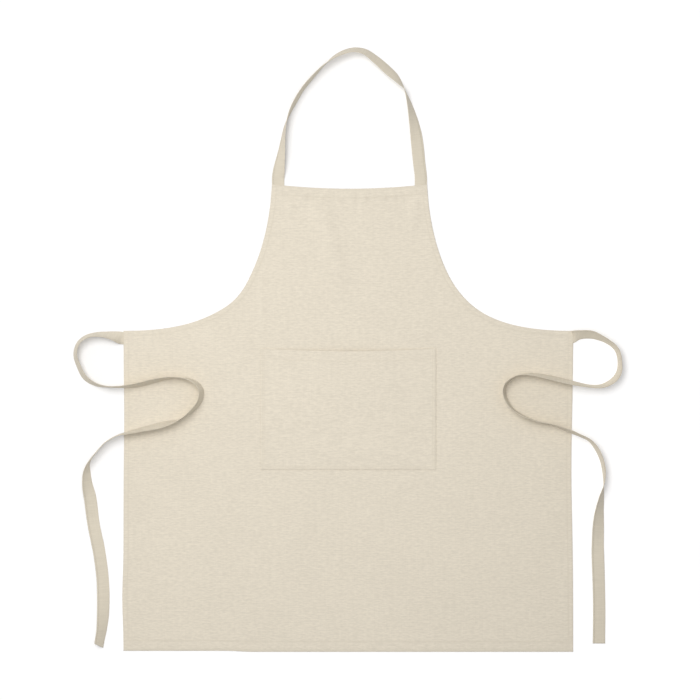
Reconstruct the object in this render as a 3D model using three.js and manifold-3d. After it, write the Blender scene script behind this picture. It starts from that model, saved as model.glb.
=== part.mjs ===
// A cotton canvas bib apron with one wide front pocket, a neck strap and two waist ties, laid out
// flat with its front up. Millimetres, +Z up: z = 0 is the surface that it lies on, the bib points
// along +Y, and the origin is under the middle of the cloth.

import * as THREE from "three";
import { mergeVertices } from "three/addons/utils/BufferGeometryUtils.js";
import Module from "manifold-3d";

// The cloth panel and its hems
const PANEL_WIDTH = 800; // across the skirt
const PANEL_LENGTH = 832; // from the bib's top corners to the bottom edge
const BIB_WIDTH = 276; // along the bib's top edge
const BIB_EDGE_SAG = 8; // the bib's top edge dips this much between its corners
const ARMHOLE_DEPTH = 261; // from the bib's top corners down to the side corners
const CLOTH = 0.6; // one layer of canvas
const HEM_FOLD = 1.2; // the two layers turned under at a hem
const SIDE_HEM = 10;
const ARMHOLE_HEM = 10;
const BOTTOM_HEM = 20;
const BIB_HEM = 18;
const HEM_ROW_INSET = 1.5; // from a hem's inner edge to its row of stitches

// The patch pocket
const POCKET_WIDTH = 312;
const POCKET_HEIGHT = 216;
const POCKET_DROP = 292; // from the bib's top corners down to the pocket's mouth
const POCKET_THICKNESS = 1.2; // cloth and its turned edge
const POCKET_EDGE_FOLD = 10; // flat border that is sewn down
const POCKET_MOUTH_HEM = 20;
const POCKET_MOUTH_SAG = 5; // the mouth dips this much at its middle
const POCKET_GAPE = 7; // the middle of the mouth stands this far off the panel
const POCKET_ROW_INSET = 3; // from the pocket's edge to its row of stitches

// The neck strap and the waist ties are the same folded and pressed tape.
const TAPE_WIDTH = 22;
const TAPE_THICKNESS = 0.9;
const NECK_TUCK = 28; // length sewn behind the bib
const NECK_FOLD_SETBACK = 3; // from the bib's corners to the line where the neck strap folds
const TIE_TUCK = 18; // length sewn behind a side corner
const TIE_DROP = 13; // from a side corner down to the tie's middle

// Sewing thread
const THREAD_WIDTH = 0.6;
const THREAD_HEIGHT = 0.3;
const NECK_BOX = 16; // the square of stitches that holds each end of the neck strap
const NECK_BOX_DROP = 4; // from the bib's corners down to that square
const TIE_ROW_INSET = 3; // from the side edge to the tie's outer row of stitches
const TIE_ROW_SPACING = 5;
const TIE_ROW_LENGTH = 20;
const ROW_END_GAP = 2; // rows of stitches stop this far from a row that they would cross

const CLEARANCE = 0.3; // between neighbouring pieces
const NOTCH_EASE = 1; // between a tape's edge and the hem beside it

// Where things lie
const RIGHT = PANEL_WIDTH / 2;
const TOP = PANEL_LENGTH / 2;
const BOTTOM = -TOP;
const BIB_CORNER = BIB_WIDTH / 2;
const SIDE_CORNER = TOP - ARMHOLE_DEPTH;
const FACE = HEM_FOLD + CLOTH; // the panel's front face
const NECK_SEAM = BIB_CORNER - TAPE_WIDTH / 2; // the neck strap's edge is flush with the bib's
const TIE_HEIGHT = SIDE_CORNER - TIE_DROP;
const POCKET_MIDDLE = TOP - POCKET_DROP - POCKET_HEIGHT / 2;
const POCKET_BASE = FACE + CLEARANCE;
const ON_TABLE = 0;
const ON_PANEL = FACE + THREAD_HEIGHT + 2 * CLEARANCE; // clear of the rows of stitches too

const CANVAS = new THREE.MeshStandardMaterial({ color: 0xe1d8c5, roughness: 0.95, metalness: 0 });
const POCKET_CANVAS = new THREE.MeshStandardMaterial({ color: 0xe4dbca, roughness: 0.95, metalness: 0 });
const TAPE_CANVAS = new THREE.MeshStandardMaterial({ color: 0xd6cdba, roughness: 0.95, metalness: 0 });
const THREAD = new THREE.MeshStandardMaterial({ color: 0xd9cfb8, roughness: 0.8, metalness: 0 });

const wasm = await Module();
wasm.setup();

/** A closed three.js geometry as a manifold-3d solid. */
function toSolid(geometry) {
  const plain = geometry.clone();
  plain.deleteAttribute("normal");
  plain.deleteAttribute("uv");
  const merged = mergeVertices(plain, 1e-4);
  const vertProperties = new Float32Array(merged.attributes.position.array);
  const triVerts = new Uint32Array(merged.index.array);
  return new wasm.Manifold(new wasm.Mesh({ numProp: 3, vertProperties, triVerts }));
}

/** A manifold-3d solid as a three.js geometry. */
function toGeometry(solid) {
  const mesh = solid.getMesh();
  const geometry = new THREE.BufferGeometry();
  geometry.setAttribute("position", new THREE.Float32BufferAttribute(mesh.vertProperties, 3));
  geometry.setIndex([...mesh.triVerts]);
  geometry.computeVertexNormals();
  return geometry;
}

/** An upright prism on an outline, from one height to another. */
function prism(outline, low, high) {
  const geometry = new THREE.ExtrudeGeometry(outline, { depth: high - low, bevelEnabled: false });
  return geometry.translate(0, 0, low);
}

/** A box between two corners, as a solid to cut with. */
function boxSolid(low, high) {
  const size = high.clone().sub(low);
  const middle = low.clone().add(high).multiplyScalar(0.5);
  const geometry = new THREE.BoxGeometry(size.x, size.y, size.z);
  return toSolid(geometry.translate(middle.x, middle.y, middle.z));
}

/** The right armhole from the bib's corner to the side corner: a steep bib side, then a long sweep. */
function armhole() {
  const sweep = RIGHT - BIB_CORNER;
  const at = (across, down) => new THREE.Vector2(BIB_CORNER + across * sweep, TOP - down * ARMHOLE_DEPTH);
  const path = new THREE.CurvePath();
  path.add(new THREE.CubicBezierCurve(at(0, 0), at(0.012, 0.253), at(0.076, 0.552), at(0.218, 0.728)));
  path.add(new THREE.CubicBezierCurve(at(0.218, 0.728), at(0.332, 0.87), at(0.504, 1), at(1, 1)));
  return path;
}

/** Points along the right armhole, moved into the cloth by a distance. */
function armholePoints(inset) {
  const divisions = 36;
  const path = armhole();
  const points = [];
  for (let i = 0; i <= divisions; i += 1) {
    const point = path.getPointAt(i / divisions);
    const along = path.getTangentAt(i / divisions);
    points.push(new THREE.Vector2(point.x + along.y * inset, point.y - along.x * inset));
  }
  return points;
}

/** How far the bib's top edge has dipped at a distance from its middle. */
function bibSag(x) {
  return BIB_EDGE_SAG * Math.max(0, 1 - (x / BIB_CORNER) ** 2);
}

/** The panel's outline, with its armholes moved into the cloth by a distance. */
function panelOutline(inset) {
  const rightArmhole = armholePoints(inset).reverse();
  const leftArmhole = armholePoints(inset).map((point) => new THREE.Vector2(-point.x, point.y));
  const bibEdge = [];
  const divisions = 12;
  for (let i = 1; i < divisions; i += 1) {
    const x = BIB_CORNER * (1 - (2 * i) / divisions);
    bibEdge.push(new THREE.Vector2(x, TOP - bibSag(x)));
  }
  const bottomLeft = new THREE.Vector2(-RIGHT, BOTTOM);
  const bottomRight = new THREE.Vector2(RIGHT, BOTTOM);
  const edge = inset > 0 ? [] : bibEdge;
  return new THREE.Shape([bottomLeft, bottomRight, ...rightArmhole, ...edge, ...leftArmhole]);
}

/** The cloth panel: one layer of canvas with its hems turned under, notched behind the sewn tapes. */
function bodyPanel() {
  const below = -1;
  const inside = boxSolid(
    new THREE.Vector3(SIDE_HEM - RIGHT, BOTTOM + BOTTOM_HEM, below),
    new THREE.Vector3(RIGHT - SIDE_HEM, TOP - BIB_EDGE_SAG - BIB_HEM, HEM_FOLD),
  );
  const hollow = toSolid(prism(panelOutline(ARMHOLE_HEM), below, HEM_FOLD)).intersect(inside);
  let panel = toSolid(prism(panelOutline(0), 0, FACE)).subtract(hollow);
  const halfTape = TAPE_WIDTH / 2 + NOTCH_EASE;
  const past = 5;
  for (const side of [-1, 1]) {
    const neckEdges = [side * (NECK_SEAM - halfTape), side * (BIB_CORNER + past)];
    const neckNotch = boxSolid(
      new THREE.Vector3(Math.min(...neckEdges), TOP - NECK_TUCK - CLEARANCE, below),
      new THREE.Vector3(Math.max(...neckEdges), TOP + past, HEM_FOLD),
    );
    const tieEdges = [side * (RIGHT - TIE_TUCK - CLEARANCE), side * (RIGHT + past)];
    const tieNotch = boxSolid(
      new THREE.Vector3(Math.min(...tieEdges), TIE_HEIGHT - halfTape, below),
      new THREE.Vector3(Math.max(...tieEdges), SIDE_CORNER + past, HEM_FOLD),
    );
    panel = panel.subtract(neckNotch).subtract(tieNotch);
  }
  return toGeometry(panel);
}

/** How far the pocket stands off the panel, at a place measured from the pocket's middle. */
function pocketLift(x, y) {
  const halfSpan = POCKET_WIDTH / 2 - POCKET_EDGE_FOLD;
  const depth = (POCKET_HEIGHT / 2 - y) / (POCKET_HEIGHT - POCKET_EDGE_FOLD);
  if (Math.abs(x) >= halfSpan || depth >= 1) {
    return 0;
  }
  return POCKET_GAPE * Math.cos((Math.PI * x) / (2 * halfSpan)) * (1 - depth ** 2);
}

/** How far the pocket's cloth has dipped towards its bottom edge, measured the same way. */
function pocketDip(x, y) {
  const nearMouth = (y + POCKET_HEIGHT / 2) / POCKET_HEIGHT;
  return POCKET_MOUTH_SAG * nearMouth * Math.cos((Math.PI * x) / POCKET_WIDTH);
}

/** A place along one side of a grid whose first and last cells can be as wide as a border. */
function gridPlace(share, cells, size, firstCell, lastCell) {
  const index = Math.round(share * cells);
  if (index === 0) {
    return -size / 2;
  }
  if (index === cells) {
    return size / 2;
  }
  return -size / 2 + firstCell + ((index - 1) * (size - firstCell - lastCell)) / (cells - 2);
}

/** The patch pocket about its own middle: flat where it is sewn down, gaping a little at its mouth. */
function frontPocket() {
  const across = 18;
  const down = 12;
  const geometry = new THREE.BoxGeometry(1, 1, 1, across, down, 1);
  const position = geometry.attributes.position;
  for (let i = 0; i < position.count; i += 1) {
    const x = gridPlace(position.getX(i) + 0.5, across, POCKET_WIDTH, POCKET_EDGE_FOLD, POCKET_EDGE_FOLD);
    const y = gridPlace(position.getY(i) + 0.5, down, POCKET_HEIGHT, POCKET_EDGE_FOLD, POCKET_MOUTH_HEM);
    const z = (position.getZ(i) + 0.5) * POCKET_THICKNESS + pocketLift(x, y);
    position.setXYZ(i, x, y - pocketDip(x, y), z);
  }
  geometry.computeVertexNormals();
  return geometry;
}

/** Splits the quads of a box's back face along their other diagonal, so that the front and the back
 *  of a thin strip bend alike where it twists, and don't pass through each other. */
function turnBackDiagonals(geometry) {
  const index = geometry.index;
  const back = geometry.groups[5];
  for (let i = back.start; i < back.start + back.count; i += 6) {
    const [a, b, c, d] = [index.getX(i), index.getX(i + 1), index.getX(i + 4), index.getX(i + 2)];
    [a, b, c, a, c, d].forEach((corner, k) => index.setX(i + k, corner));
  }
}

/** A strip of rectangular section along a curve, rolled about its direction of travel by rollAt(t). */
function strip(curve, width, thickness, steps, rollAt) {
  const geometry = new THREE.BoxGeometry(1, width, thickness, steps, 1, 1);
  turnBackDiagonals(geometry);
  const position = geometry.attributes.position;
  for (let i = 0; i < position.count; i += 1) {
    const t = position.getX(i) + 0.5;
    const along = curve.getTangent(t).setZ(0).normalize();
    const left = new THREE.Vector3(-along.y, along.x, 0).applyAxisAngle(along, rollAt(t));
    const out = along.clone().cross(left);
    const place = curve.getPoint(t);
    place.addScaledVector(left, position.getY(i)).addScaledVector(out, position.getZ(i));
    position.setXYZ(i, place.x, place.y, place.z);
  }
  geometry.computeVertexNormals();
  return geometry;
}

/** The centre line of a tape that lies with its lower edge on something, whatever its roll. Each point
 *  of its route is [x, y, roll in degrees by the right-hand rule, height of what it lies on]. */
class TapeLine extends THREE.Curve {
  constructor(route) {
    super();
    this.levels = route.map((point) => point[3]);
    this.plan = new THREE.CatmullRomCurve3(route.map(([x, y]) => new THREE.Vector3(x, y, 0)));
    const rolls = route.map((point) => new THREE.Vector3(THREE.MathUtils.degToRad(point[2]), 0, 0));
    this.rolls = new THREE.CatmullRomCurve3(rolls, false, "catmullrom");
  }

  rollAt(t) {
    return this.rolls.getPoint(t).x;
  }

  levelAt(t) {
    const place = t * (this.levels.length - 1);
    const before = Math.min(Math.floor(place), this.levels.length - 2);
    const ease = THREE.MathUtils.smoothstep(place - before, 0, 1);
    return THREE.MathUtils.lerp(this.levels[before], this.levels[before + 1], ease);
  }

  getPoint(t) {
    const roll = this.rollAt(t);
    const standing = (TAPE_WIDTH * Math.abs(Math.sin(roll)) + TAPE_THICKNESS * Math.abs(Math.cos(roll))) / 2;
    return this.plan.getPoint(t).setZ(this.levelAt(t) + standing);
  }
}

/** A tape along its route, with two steps between each point and the next. */
function tape(route) {
  const line = new TapeLine(route);
  const steps = 2 * (route.length - 1);
  return strip(line, TAPE_WIDTH, TAPE_THICKNESS, steps, (t) => line.rollAt(t));
}

/** One row of stitches along points on the cloth, as one long flat thread. */
function threadRow(points) {
  const curve = new THREE.CatmullRomCurve3(points);
  return strip(curve, THREAD_WIDTH, THREAD_HEIGHT, points.length - 1, () => 0);
}

/** A straight row of stitches between two places, about the origin of its mesh. */
function straightRow(width, length) {
  return new THREE.BoxGeometry(width, length, THREAD_HEIGHT);
}

/** A closed rectangle of stitches about its own middle, standing on z = 0. */
function stitchBox(width, height) {
  const outline = new THREE.Shape();
  outline.moveTo(-width / 2, -height / 2);
  outline.lineTo(width / 2, -height / 2);
  outline.lineTo(width / 2, height / 2);
  outline.lineTo(-width / 2, height / 2);
  const x = width / 2 - THREAD_WIDTH;
  const y = height / 2 - THREAD_WIDTH;
  const opening = new THREE.Path();
  opening.moveTo(-x, -y);
  opening.lineTo(-x, y);
  opening.lineTo(x, y);
  opening.lineTo(x, -y);
  outline.holes.push(opening);
  return prism(outline, 0, THREAD_HEIGHT);
}

/** The row of stitches that holds the pocket's sides and bottom, about the pocket's middle. */
function pocketSeam() {
  const outer = POCKET_WIDTH / 2 - POCKET_ROW_INSET;
  const low = -POCKET_HEIGHT / 2 + POCKET_ROW_INSET;
  const high = POCKET_HEIGHT / 2 - POCKET_ROW_INSET;
  const inner = outer - THREAD_WIDTH;
  const floor = low + THREAD_WIDTH;
  const corners = [
    [-outer, low],
    [outer, low],
    [outer, high],
    [inner, high],
    [inner, floor],
    [-inner, floor],
    [-inner, high],
    [-outer, high],
  ];
  return prism(new THREE.Shape(corners.map(([x, y]) => new THREE.Vector2(x, y))), 0, THREAD_HEIGHT);
}

/** The row of stitches along the pocket's mouth hem, about the pocket's middle, on its face. */
function pocketMouthRow() {
  const y = POCKET_HEIGHT / 2 - POCKET_MOUTH_HEM + HEM_ROW_INSET;
  const end = POCKET_WIDTH / 2 - POCKET_ROW_INSET - THREAD_WIDTH - ROW_END_GAP;
  const spans = 12;
  const points = [];
  for (let i = 0; i <= spans; i += 1) {
    const x = end * ((2 * i) / spans - 1);
    const z = POCKET_THICKNESS + pocketLift(x, y) + CLEARANCE + THREAD_HEIGHT;
    points.push(new THREE.Vector3(x, y - pocketDip(x, y), z));
  }
  return threadRow(points);
}

/** The neck strap's free loop, from its left end over the top to its right end. The route was laid
 *  out for seams 127 either side of the middle, and spreads with them. */
function neckStrap() {
  const spread = NECK_SEAM / 127;
  const start = NECK_FOLD_SETBACK + CLEARANCE / 2;
  const route = [
    [-127, start, 0],
    [-127, 9, 0],
    [-126, 18, -8],
    [-124, 30, -35],
    [-120, 58, -58],
    [-117.5, 82, -70],
    [-114, 103, -80],
    [-108, 125, -94],
    [-98, 148, -111],
    [-84, 171, -108],
    [-65, 193, -101],
    [-45, 212, -86],
    [-20, 230, -67],
    [6, 238, -62],
    [27, 236, -58],
    [47, 224, -53],
    [70, 203, -47],
    [85, 187, -52],
    [92, 177, -69],
    [97, 168, -86],
    [101.5, 157, -78],
    [106, 143, -66],
    [111, 124, -50],
    [116.5, 97, -33],
    [120, 70, -18],
    [124, 35, -10],
    [126.5, 18, -3],
    [127, 9, 0],
    [127, start, 0],
  ];
  return tape(route.map(([x, y, roll]) => [x * spread, TOP + y, roll, ON_TABLE]));
}

/** One end of the neck strap, sewn behind the bib, about the middle of its own length. */
function neckEnd() {
  return new THREE.BoxGeometry(TAPE_WIDTH, NECK_TUCK + NECK_FOLD_SETBACK - CLEARANCE / 2, TAPE_THICKNESS);
}

/** A waist tie on the side of the given sign. Its route is measured outwards from the side edge and
 *  up from the side corner, and its sewn end lies behind the panel. */
function waistTie(side, route) {
  const placed = route.map(([outward, up, roll, level]) => [
    side * (RIGHT + outward),
    SIDE_CORNER + up,
    roll,
    level,
  ]);
  return tape(placed);
}

/** The left tie: out in a loop, back over the skirt in a second loop, then down beside the skirt. */
function leftTie() {
  const route = [
    [-TIE_TUCK, -TIE_DROP, 0, ON_TABLE],
    [1, -TIE_DROP, 0, ON_TABLE],
    [6, -12.6, 5, ON_TABLE],
    [17, -10.5, 45, ON_TABLE],
    [33, -8, 64, ON_TABLE],
    [51, -8, 71, ON_TABLE],
    [67, -13, 73, ON_TABLE],
    [79, -24, 73, ON_TABLE],
    [83, -42, 72, ON_TABLE],
    [77, -60, 71, ON_TABLE],
    [65, -82, 69, ON_TABLE],
    [47, -94, 76, ON_TABLE],
    [28, -99, 84, ON_TABLE],
    [6, -99.5, 83, ON_PANEL],
    [-26, -96, 71, ON_PANEL],
    [-54, -89, 75, ON_PANEL],
    [-82, -83.5, 88, ON_PANEL],
    [-110, -84, 101, ON_PANEL],
    [-130, -92, 109, ON_PANEL],
    [-140, -106, 116, ON_PANEL],
    [-137, -125, 111, ON_PANEL],
    [-122, -143, 104, ON_PANEL],
    [-99, -158, 88, ON_PANEL],
    [-70, -166.5, 63, ON_PANEL],
    [-38, -174, 70, ON_PANEL],
    [-4, -181.5, 82, ON_PANEL],
    [9, -185, 87, ON_PANEL],
    [30, -197, 87, ON_TABLE],
    [48, -215, 86, ON_TABLE],
    [62, -234, 93, ON_TABLE],
    [65, -252, 118, ON_TABLE],
    [62, -274, 137, ON_TABLE],
    [57, -297, 163, ON_TABLE],
    [51, -343, 180, ON_TABLE],
    [41, -393, 180, ON_TABLE],
    [36, -443, 176, ON_TABLE],
    [36, -493, 160, ON_TABLE],
    [39, -527, 135, ON_TABLE],
    [45.5, -560, 125, ON_TABLE],
  ];
  return waistTie(-1, route);
}

/** The right tie lies the same way, in loops of its own. */
function rightTie() {
  const route = [
    [-TIE_TUCK, -TIE_DROP, 0, ON_TABLE],
    [1, -TIE_DROP, 0, ON_TABLE],
    [6, -12, 5, ON_TABLE],
    [15, -8, 40, ON_TABLE],
    [33, -7, 56, ON_TABLE],
    [52, -14, 64, ON_TABLE],
    [64, -19, 69, ON_TABLE],
    [75, -26, 74, ON_TABLE],
    [83, -36, 76, ON_TABLE],
    [86.5, -54, 78, ON_TABLE],
    [85, -73, 71, ON_TABLE],
    [77, -85, 66, ON_TABLE],
    [65, -94, 67, ON_TABLE],
    [48, -99.5, 74, ON_TABLE],
    [28, -98, 78, ON_TABLE],
    [6, -94, 78, ON_PANEL],
    [-18, -88.5, 76, ON_PANEL],
    [-46, -82, 78, ON_PANEL],
    [-72, -77.5, 84, ON_PANEL],
    [-92, -77.5, 92, ON_PANEL],
    [-108, -84, 101, ON_PANEL],
    [-119, -96, 111, ON_PANEL],
    [-121, -113, 116, ON_PANEL],
    [-112, -133, 104, ON_PANEL],
    [-96, -147, 99, ON_PANEL],
    [-68, -159, 96, ON_PANEL],
    [-34, -167, 91, ON_PANEL],
    [-2, -179, 82, ON_PANEL],
    [9, -184, 82, ON_PANEL],
    [29, -195, 77, ON_TABLE],
    [42, -210, 71, ON_TABLE],
    [51, -229, 75, ON_TABLE],
    [55, -250, 80, ON_TABLE],
    [55, -270, 91, ON_TABLE],
    [51, -294, 120, ON_TABLE],
    [47.5, -319, 141, ON_TABLE],
    [45.5, -345, 160, ON_TABLE],
    [44.5, -393, 180, ON_TABLE],
    [46, -443, 180, ON_TABLE],
    [47, -493, 180, ON_TABLE],
    [46, -556, 180, ON_TABLE],
  ];
  return waistTie(1, route);
}

/** The row of stitches along an armhole, between the neck strap's stitches and the tie's. */
function armholeRow(side) {
  const outer = RIGHT - TIE_ROW_INSET - TIE_ROW_SPACING - ROW_END_GAP;
  const upper = TOP - NECK_TUCK - ROW_END_GAP;
  const inset = ARMHOLE_HEM - HEM_ROW_INSET;
  const middle = FACE + CLEARANCE + THREAD_HEIGHT / 2;
  const points = armholePoints(inset).filter((point) => point.x < outer && point.y < upper);
  return threadRow(points.map((point) => new THREE.Vector3(side * point.x, point.y, middle)));
}

/** The row of stitches along the bib's top hem, which follows the sagging edge. */
function bibRow() {
  const end = NECK_SEAM - TAPE_WIDTH / 2 - ROW_END_GAP;
  const middle = FACE + CLEARANCE + THREAD_HEIGHT / 2;
  const spans = 8;
  const points = [];
  for (let i = 0; i <= spans; i += 1) {
    const x = end * ((2 * i) / spans - 1);
    points.push(new THREE.Vector3(x, TOP - bibSag(x) - BIB_HEM + HEM_ROW_INSET, middle));
  }
  return threadRow(points);
}

/** A named mesh at a place. */
function piece(name, geometry, material, x = 0, y = 0, z = 0) {
  const mesh = new THREE.Mesh(geometry, material);
  mesh.name = name;
  mesh.position.set(x, y, z);
  return mesh;
}

const apron = new THREE.Group();

const panel = new THREE.Group();
panel.add(piece("body_panel", bodyPanel(), CANVAS));
apron.add(panel);

const pocket = new THREE.Group();
pocket.position.set(0, POCKET_MIDDLE, POCKET_BASE);
pocket.add(piece("front_pocket", frontPocket(), POCKET_CANVAS));
const pocketThread = POCKET_THICKNESS + CLEARANCE;
pocket.add(piece("pocket_seam_thread", pocketSeam(), THREAD, 0, 0, pocketThread));
pocket.add(piece("pocket_mouth_hem_thread", pocketMouthRow(), THREAD));
apron.add(pocket);

// Rows of stitches on the panel's face
const faceThread = FACE + CLEARANCE + THREAD_HEIGHT / 2;
const bottomRow = BOTTOM + BOTTOM_HEM - HEM_ROW_INSET;
const bottomRowLength = PANEL_WIDTH - 2 * (SIDE_HEM - HEM_ROW_INSET);
const bottomThread = straightRow(bottomRowLength, THREAD_WIDTH);
panel.add(piece("bottom_hem_thread", bottomThread, THREAD, 0, bottomRow, faceThread));
panel.add(piece("bib_hem_thread", bibRow(), THREAD));

const sideRowLow = bottomRow + ROW_END_GAP;
const sideRowHigh = TIE_HEIGHT - TIE_ROW_LENGTH / 2 - ROW_END_GAP;
const sideRowMiddle = (sideRowLow + sideRowHigh) / 2;
for (const side of [-1, 1]) {
  const hand = side < 0 ? "left" : "right";
  const sideThread = straightRow(THREAD_WIDTH, sideRowHigh - sideRowLow);
  const sideRow = side * (RIGHT - SIDE_HEM + HEM_ROW_INSET);
  panel.add(piece(`${hand}_side_hem_thread`, sideThread, THREAD, sideRow, sideRowMiddle, faceThread));
  panel.add(piece(`${hand}_armhole_hem_thread`, armholeRow(side), THREAD));

  const neckBoxMiddle = TOP - NECK_BOX_DROP - NECK_BOX / 2;
  const neckBox = stitchBox(NECK_BOX, NECK_BOX);
  const onFace = FACE + CLEARANCE;
  panel.add(piece(`${hand}_neck_strap_thread`, neckBox, THREAD, side * NECK_SEAM, neckBoxMiddle, onFace));

  const tieRows = stitchBox(TIE_ROW_SPACING, TIE_ROW_LENGTH);
  const tieRowMiddle = side * (RIGHT - TIE_ROW_INSET - TIE_ROW_SPACING / 2);
  panel.add(piece(`${hand}_tie_thread`, tieRows, THREAD, tieRowMiddle, TIE_HEIGHT, onFace));

  const endMiddle = TOP + (NECK_FOLD_SETBACK - CLEARANCE / 2 - NECK_TUCK) / 2;
  const endName = `neck_strap_${hand}_end`;
  apron.add(piece(endName, neckEnd(), TAPE_CANVAS, side * NECK_SEAM, endMiddle, TAPE_THICKNESS / 2));
}

apron.add(piece("neck_strap", neckStrap(), TAPE_CANVAS));
apron.add(piece("left_waist_tie", leftTie(), TAPE_CANVAS));
apron.add(piece("right_waist_tie", rightTie(), TAPE_CANVAS));

export default apron;
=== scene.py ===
"""A cotton canvas bib apron with a patch pocket, a neck strap and two waist ties, laid out flat."""

import math

import bpy
import numpy as np
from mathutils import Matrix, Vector
from mathutils.geometry import delaunay_2d_cdt


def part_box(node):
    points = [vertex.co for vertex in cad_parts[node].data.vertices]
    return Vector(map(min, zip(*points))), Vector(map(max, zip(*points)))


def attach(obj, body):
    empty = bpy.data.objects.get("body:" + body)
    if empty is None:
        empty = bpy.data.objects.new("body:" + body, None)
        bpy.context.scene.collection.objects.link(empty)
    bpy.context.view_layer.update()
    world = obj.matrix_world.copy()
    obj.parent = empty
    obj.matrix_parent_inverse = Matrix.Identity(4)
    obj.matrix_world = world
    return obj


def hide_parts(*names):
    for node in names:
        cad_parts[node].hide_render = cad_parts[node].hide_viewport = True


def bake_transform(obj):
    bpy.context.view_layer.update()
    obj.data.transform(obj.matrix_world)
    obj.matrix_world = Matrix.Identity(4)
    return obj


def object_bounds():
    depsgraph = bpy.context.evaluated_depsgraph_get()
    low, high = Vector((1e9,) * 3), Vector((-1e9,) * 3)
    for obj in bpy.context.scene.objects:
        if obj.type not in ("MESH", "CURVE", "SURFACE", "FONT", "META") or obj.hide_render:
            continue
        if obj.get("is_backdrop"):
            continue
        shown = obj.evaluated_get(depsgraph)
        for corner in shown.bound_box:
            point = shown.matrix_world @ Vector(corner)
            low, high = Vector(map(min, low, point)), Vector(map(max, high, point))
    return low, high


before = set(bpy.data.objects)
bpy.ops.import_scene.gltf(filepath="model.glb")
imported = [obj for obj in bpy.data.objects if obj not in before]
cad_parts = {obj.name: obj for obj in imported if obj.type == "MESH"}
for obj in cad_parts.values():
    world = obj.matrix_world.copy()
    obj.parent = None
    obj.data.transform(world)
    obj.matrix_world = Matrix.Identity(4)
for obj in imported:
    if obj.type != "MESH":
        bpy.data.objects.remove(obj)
cad_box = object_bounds()

bl_info = {
    "name": "Canvas bib apron",
    "version": (1, 0, 0),
    "blender": (4, 5, 0),
    "location": "View3D > Sidebar > Apron",
    "description": "Makes the cloth, tapes and stitches of a canvas bib apron around its measured frame",
    "category": "Object",
}

MM = 0.001

# Places taken from the frame
PANEL_LOW, PANEL_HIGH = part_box("body_panel")
RIGHT = PANEL_HIGH.x
TOP = PANEL_HIGH.y
BOTTOM = PANEL_LOW.y
BIB_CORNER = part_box("neck_strap_right_end")[1].x
NECK_TUCK_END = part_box("neck_strap_right_end")[0].y
TIE_ROWS_LOW, TIE_ROWS_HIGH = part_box("right_tie_thread")
TIE_HEIGHT = (TIE_ROWS_LOW.y + TIE_ROWS_HIGH.y) / 2
TIE_DROP = 13 * MM
SIDE_CORNER = TIE_HEIGHT + TIE_DROP
POCKET_LOW, POCKET_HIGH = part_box("front_pocket")

# The panel and its hems
BIB_EDGE_SAG = 8 * MM
ARMHOLE_DEPTH = TOP - SIDE_CORNER
CLOTH = 0.6 * MM
HEMS = {"bottom": 20 * MM, "side": 10 * MM, "armhole": 10 * MM, "bib": 18 * MM}
TURNED_UNDER = {"bottom": 30 * MM, "side": 20 * MM, "armhole": 20 * MM, "bib": 28 * MM}
ROW_INSET = 1.5 * MM
EDGE_ROUND = 0.8 * MM
EDGE_STEP = 4 * MM
GRID_STEP = 6 * MM
ROW_LEVEL = 1.6 * MM
HEM_CROWN = 0.14 * MM
FLAT_LEVEL = 1.45 * MM
UNDERSIDE = 0.02 * MM
TAPE_ROOM = 1.22 * MM
BIB_SHIFT = 2.1 * MM
ARMHOLE_PUSH = 3 * MM
PUCKERED = {"bottom": 1.0, "side": 0.5, "armhole": 0.8, "bib": 6.5}  # how much each hem puckers
PUCKER_RANGE = (-0.9 * MM, 1.8 * MM)

# Soft folds in the cloth: where each starts and ends, half its width, and how high it stands
FOLDS = (
    ((-0.062, 0.405), (-0.006, 0.22), 17 * MM, 4 * MM),
    ((-0.155, 0.3), (-0.155, 0.128), 7 * MM, 1.5 * MM),
    ((-0.158, -0.1), (-0.162, -0.26), 12 * MM, 0.6 * MM),
    ((0.07, -0.125), (0.165, -0.092), 8 * MM, 0.9 * MM),
    ((-0.115, 0.405), (-0.095, 0.35), 9 * MM, 2.4 * MM),
    ((0.118, 0.4), (0.112, 0.33), 9 * MM, 2.2 * MM),
)

# The pocket
POCKET_HEM = 20 * MM
POCKET_TURNED = 10 * MM
POCKET_SAG = 5 * MM
POCKET_ROWS = (3 * MM, 6 * MM)
POCKET_AIR = 0.1 * MM

# The tape
TAPE_WIDTH = 22 * MM
TAPE_RING_STEP = 1.6 * MM
TAPE_ROW = 8.3 * MM
TIE_TUCK = 18 * MM
NECK_TUCK = TOP - NECK_TUCK_END
ON_TABLE = 0.0
ON_PANEL = 2.3 * MM
NECK_SEAM = BIB_CORNER - TAPE_WIDTH / 2

STITCH_PITCH = 3 * MM
STITCH_LIFT = 0.04 * MM

# The stage, in metres
FLOOR_SIZE = 80
FLOOR_DROP = 0.2 * MM  # keeps the floor clear of the cloth's underside
LAMP_AIM = (0, 0.1, 0)
KEY_PLACE, KEY_SIZE = (-0.95, 1.25, 2.9), 1.7
TOP_PLACE, TOP_SIZE = (-0.2, 0.12, 1.6), 0.9
CAMERA_OVER = (3 * MM, 121 * MM)
# The floor's painted glow: its own emission, weakest at this centre and growing outwards.
GLOW_CENTRE = (-0.3, 0.35, 0)
GLOW_START, GLOW_END = 0.3, 2.6  # distances from that centre
GLOW_LEAST = 0.07  # share of the glow that the centre has


def linear(hex_colour):
    """An sRGB hex colour as linear red, green and blue."""
    parts = [int(hex_colour[i : i + 2], 16) / 255 for i in (0, 2, 4)]
    return tuple(p / 12.92 if p <= 0.04045 else ((p + 0.055) / 1.055) ** 2.4 for p in parts)


def smooth_share(low, high, value):
    """How far value has gone from low to high, eased, from 0 to 1."""
    share = np.clip((value - low) / (high - low), 0.0, 1.0)
    return share * share * (3.0 - 2.0 * share)


def bell(away, width):
    """1 where away is 0, easing to nearly 0 at twice the width."""
    return np.exp(-(away / width) ** 2)


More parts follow.
